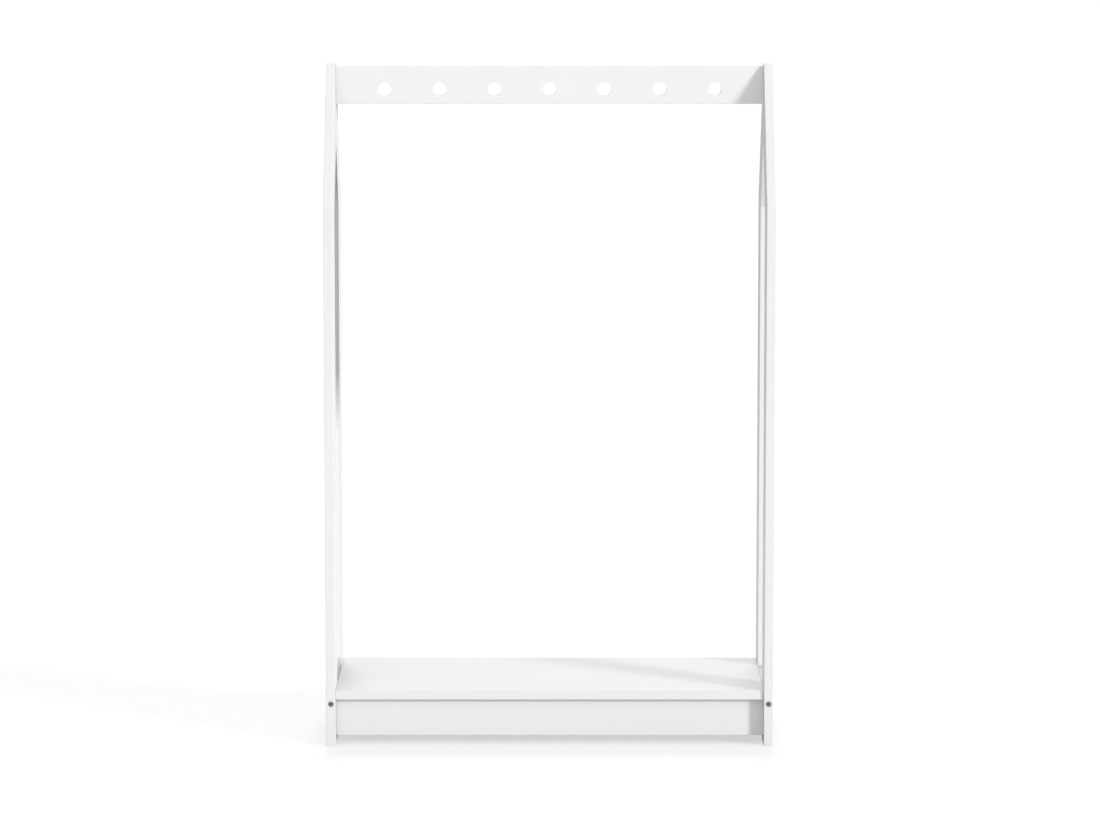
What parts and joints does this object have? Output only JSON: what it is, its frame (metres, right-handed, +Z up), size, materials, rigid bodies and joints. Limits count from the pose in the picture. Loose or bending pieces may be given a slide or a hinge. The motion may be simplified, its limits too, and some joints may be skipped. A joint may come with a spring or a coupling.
{
  "type": "children's dress-up storage unit",
  "caption": "Open clothes unit for children: two house-shaped side frames, one with a full-length mirror, a drilled hanger rail between the peaks and a low shelf on plinths.",
  "frame": {"origin": "middle of the footprint, on the floor", "axes": "+X to the right seen from the front, +Y to the rear, +Z up"},
  "size_m": [0.73, 0.3, 1.107],
  "materials": {
    "white_board": "satin white paint on fibreboard",
    "mirror": "silvered, polished edge",
    "bonding_strip": "closed-cell foam",
    "zinc_steel": "zinc plated",
    "bronze_steel": "dull bronze plating",
    "beech": "unfinished, fluted"
  },
  "bodies": {
    "root": {"left_front_post": "white_board", "left_rear_post": "white_board", "left_front_rafter": "white_board", "left_rear_rafter": "white_board", "left_side_rail": "white_board", "right_front_post": "white_board", "right_rear_post": "white_board", "right_front_rafter": "white_board", "right_rear_rafter": "white_board", "right_side_rail": "white_board", "hanger_rail": "white_board", "shelf": "white_board", "front_plinth": "white_board", "rear_plinth": "white_board", "mirror_pane": "mirror", "mirror_backing": "white_board", "mirror_strips": "bonding_strip", "backing_screws": "zinc_steel", "frame_bolts": "bronze_steel", "barrel_nuts": "zinc_steel", "rail_screws": "zinc_steel", "plinth_screws": "zinc_steel", "cam_pins": "zinc_steel", "cams": "zinc_steel", "eave_dowels": "beech", "apex_dowels": "beech", "side_rail_dowels": "beech", "shelf_dowels": "beech"}
  },
  "joints": []
}
